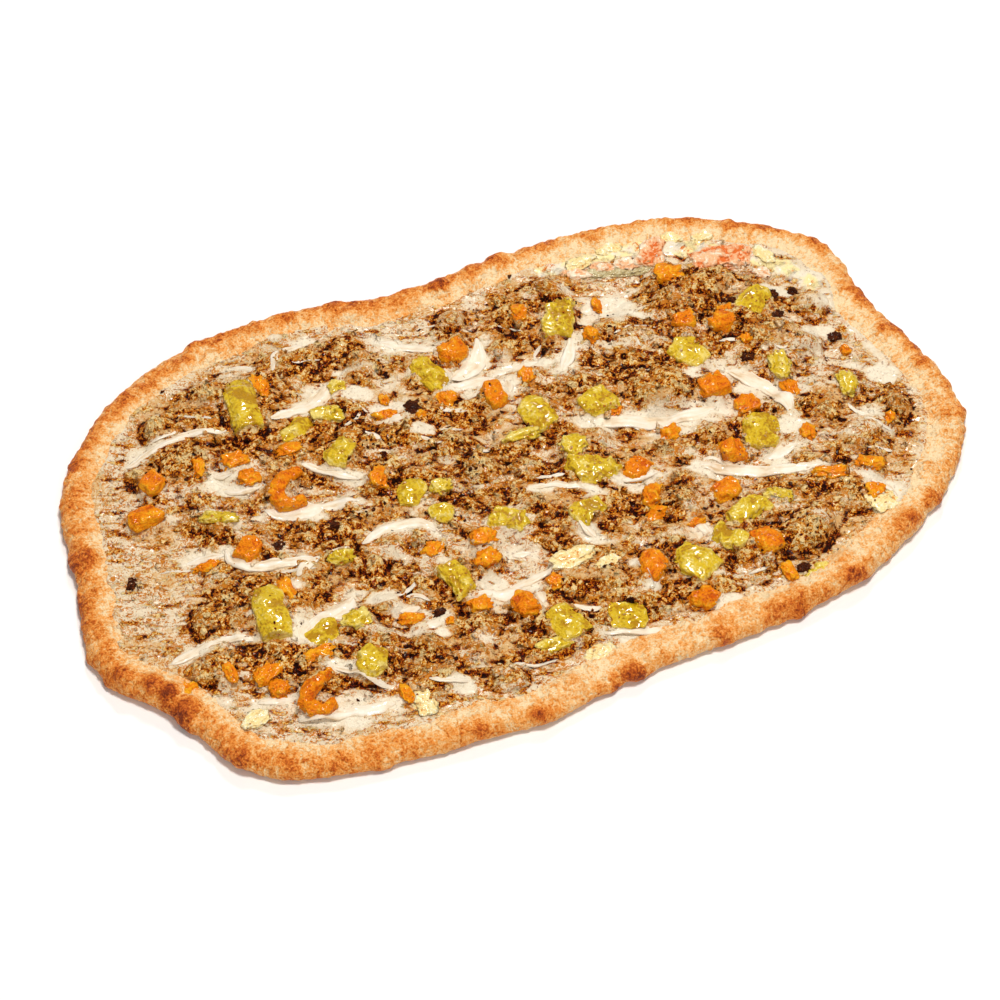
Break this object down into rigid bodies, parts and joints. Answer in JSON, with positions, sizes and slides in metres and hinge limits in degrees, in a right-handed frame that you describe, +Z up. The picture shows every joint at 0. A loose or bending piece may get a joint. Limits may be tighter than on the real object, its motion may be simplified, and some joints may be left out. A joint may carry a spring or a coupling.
{
  "type": "flammkuchen",
  "caption": "Oblong baked flat bread with a raised rim, a cream layer, a bed of crumbled mince, and pieces of green pepper, orange dice and onion strips on top.",
  "frame": {"origin": "centre of the bounding box's underside, on the table", "axes": "+X along the bread's length, +Z up out of the toppings"},
  "size_m": [0.3, 0.192, 0.0146],
  "materials": {
    "crust": "baked flour dough, golden brown on the crest, pale inside, matte",
    "cream": "baked cream, off-white with toasted specks, slightly moist",
    "mince": "crumbled browned mince, beige with dark brown tips, grainy",
    "pepper": "pickled mild green pepper, yellow-green, wet and glossy",
    "orange": "cooked orange vegetable, moist and glossy",
    "onion": "cooked onion, milky white, moist",
    "ham": "baked ham, salmon pink, moist"
  },
  "bodies": {
    "root": {"cream": "cream", "crust": "crust", "ham_scrap_1": "ham", "ham_scrap_2": "ham", "mince": "mince", "onion_strip_1": "onion", "onion_strip_10": "onion", "onion_strip_11": "onion", "onion_strip_2": "onion", "onion_strip_3": "onion", "onion_strip_4": "onion", "onion_strip_5": "onion", "onion_strip_6": "onion", "onion_strip_7": "onion", "onion_strip_8": "onion", "onion_strip_9": "onion", "orange_die_1": "orange", "orange_die_10": "orange", "orange_die_11": "orange", "orange_die_12": "orange", "orange_die_13": "orange", "orange_die_14": "orange", "orange_die_15": "orange", "orange_die_16": "orange", "orange_die_2": "orange", "orange_die_3": "orange", "orange_die_4": "orange", "orange_die_5": "orange", "orange_die_6": "orange", "orange_die_7": "orange", "orange_die_8": "orange", "orange_die_9": "orange", "orange_hook_1": "orange", "orange_hook_2": "orange", "pepper_crumpled_1": "pepper", "pepper_crumpled_10": "pepper", "pepper_crumpled_11": "pepper", "pepper_crumpled_2": "pepper", "pepper_crumpled_3": "pepper", "pepper_crumpled_4": "pepper", "pepper_crumpled_5": "pepper", "pepper_crumpled_6": "pepper", "pepper_crumpled_7": "pepper", "pepper_crumpled_8": "pepper", "pepper_crumpled_9": "pepper", "pepper_tip_1": "pepper", "pepper_tip_2": "pepper", "pepper_wall_1": "pepper", "pepper_wall_10": "pepper", "pepper_wall_11": "pepper", "pepper_wall_2": "pepper", "pepper_wall_3": "pepper", "pepper_wall_4": "pepper", "pepper_wall_5": "pepper", "pepper_wall_6": "pepper", "pepper_wall_7": "pepper", "pepper_wall_8": "pepper", "pepper_wall_9": "pepper"}
  },
  "joints": []
}
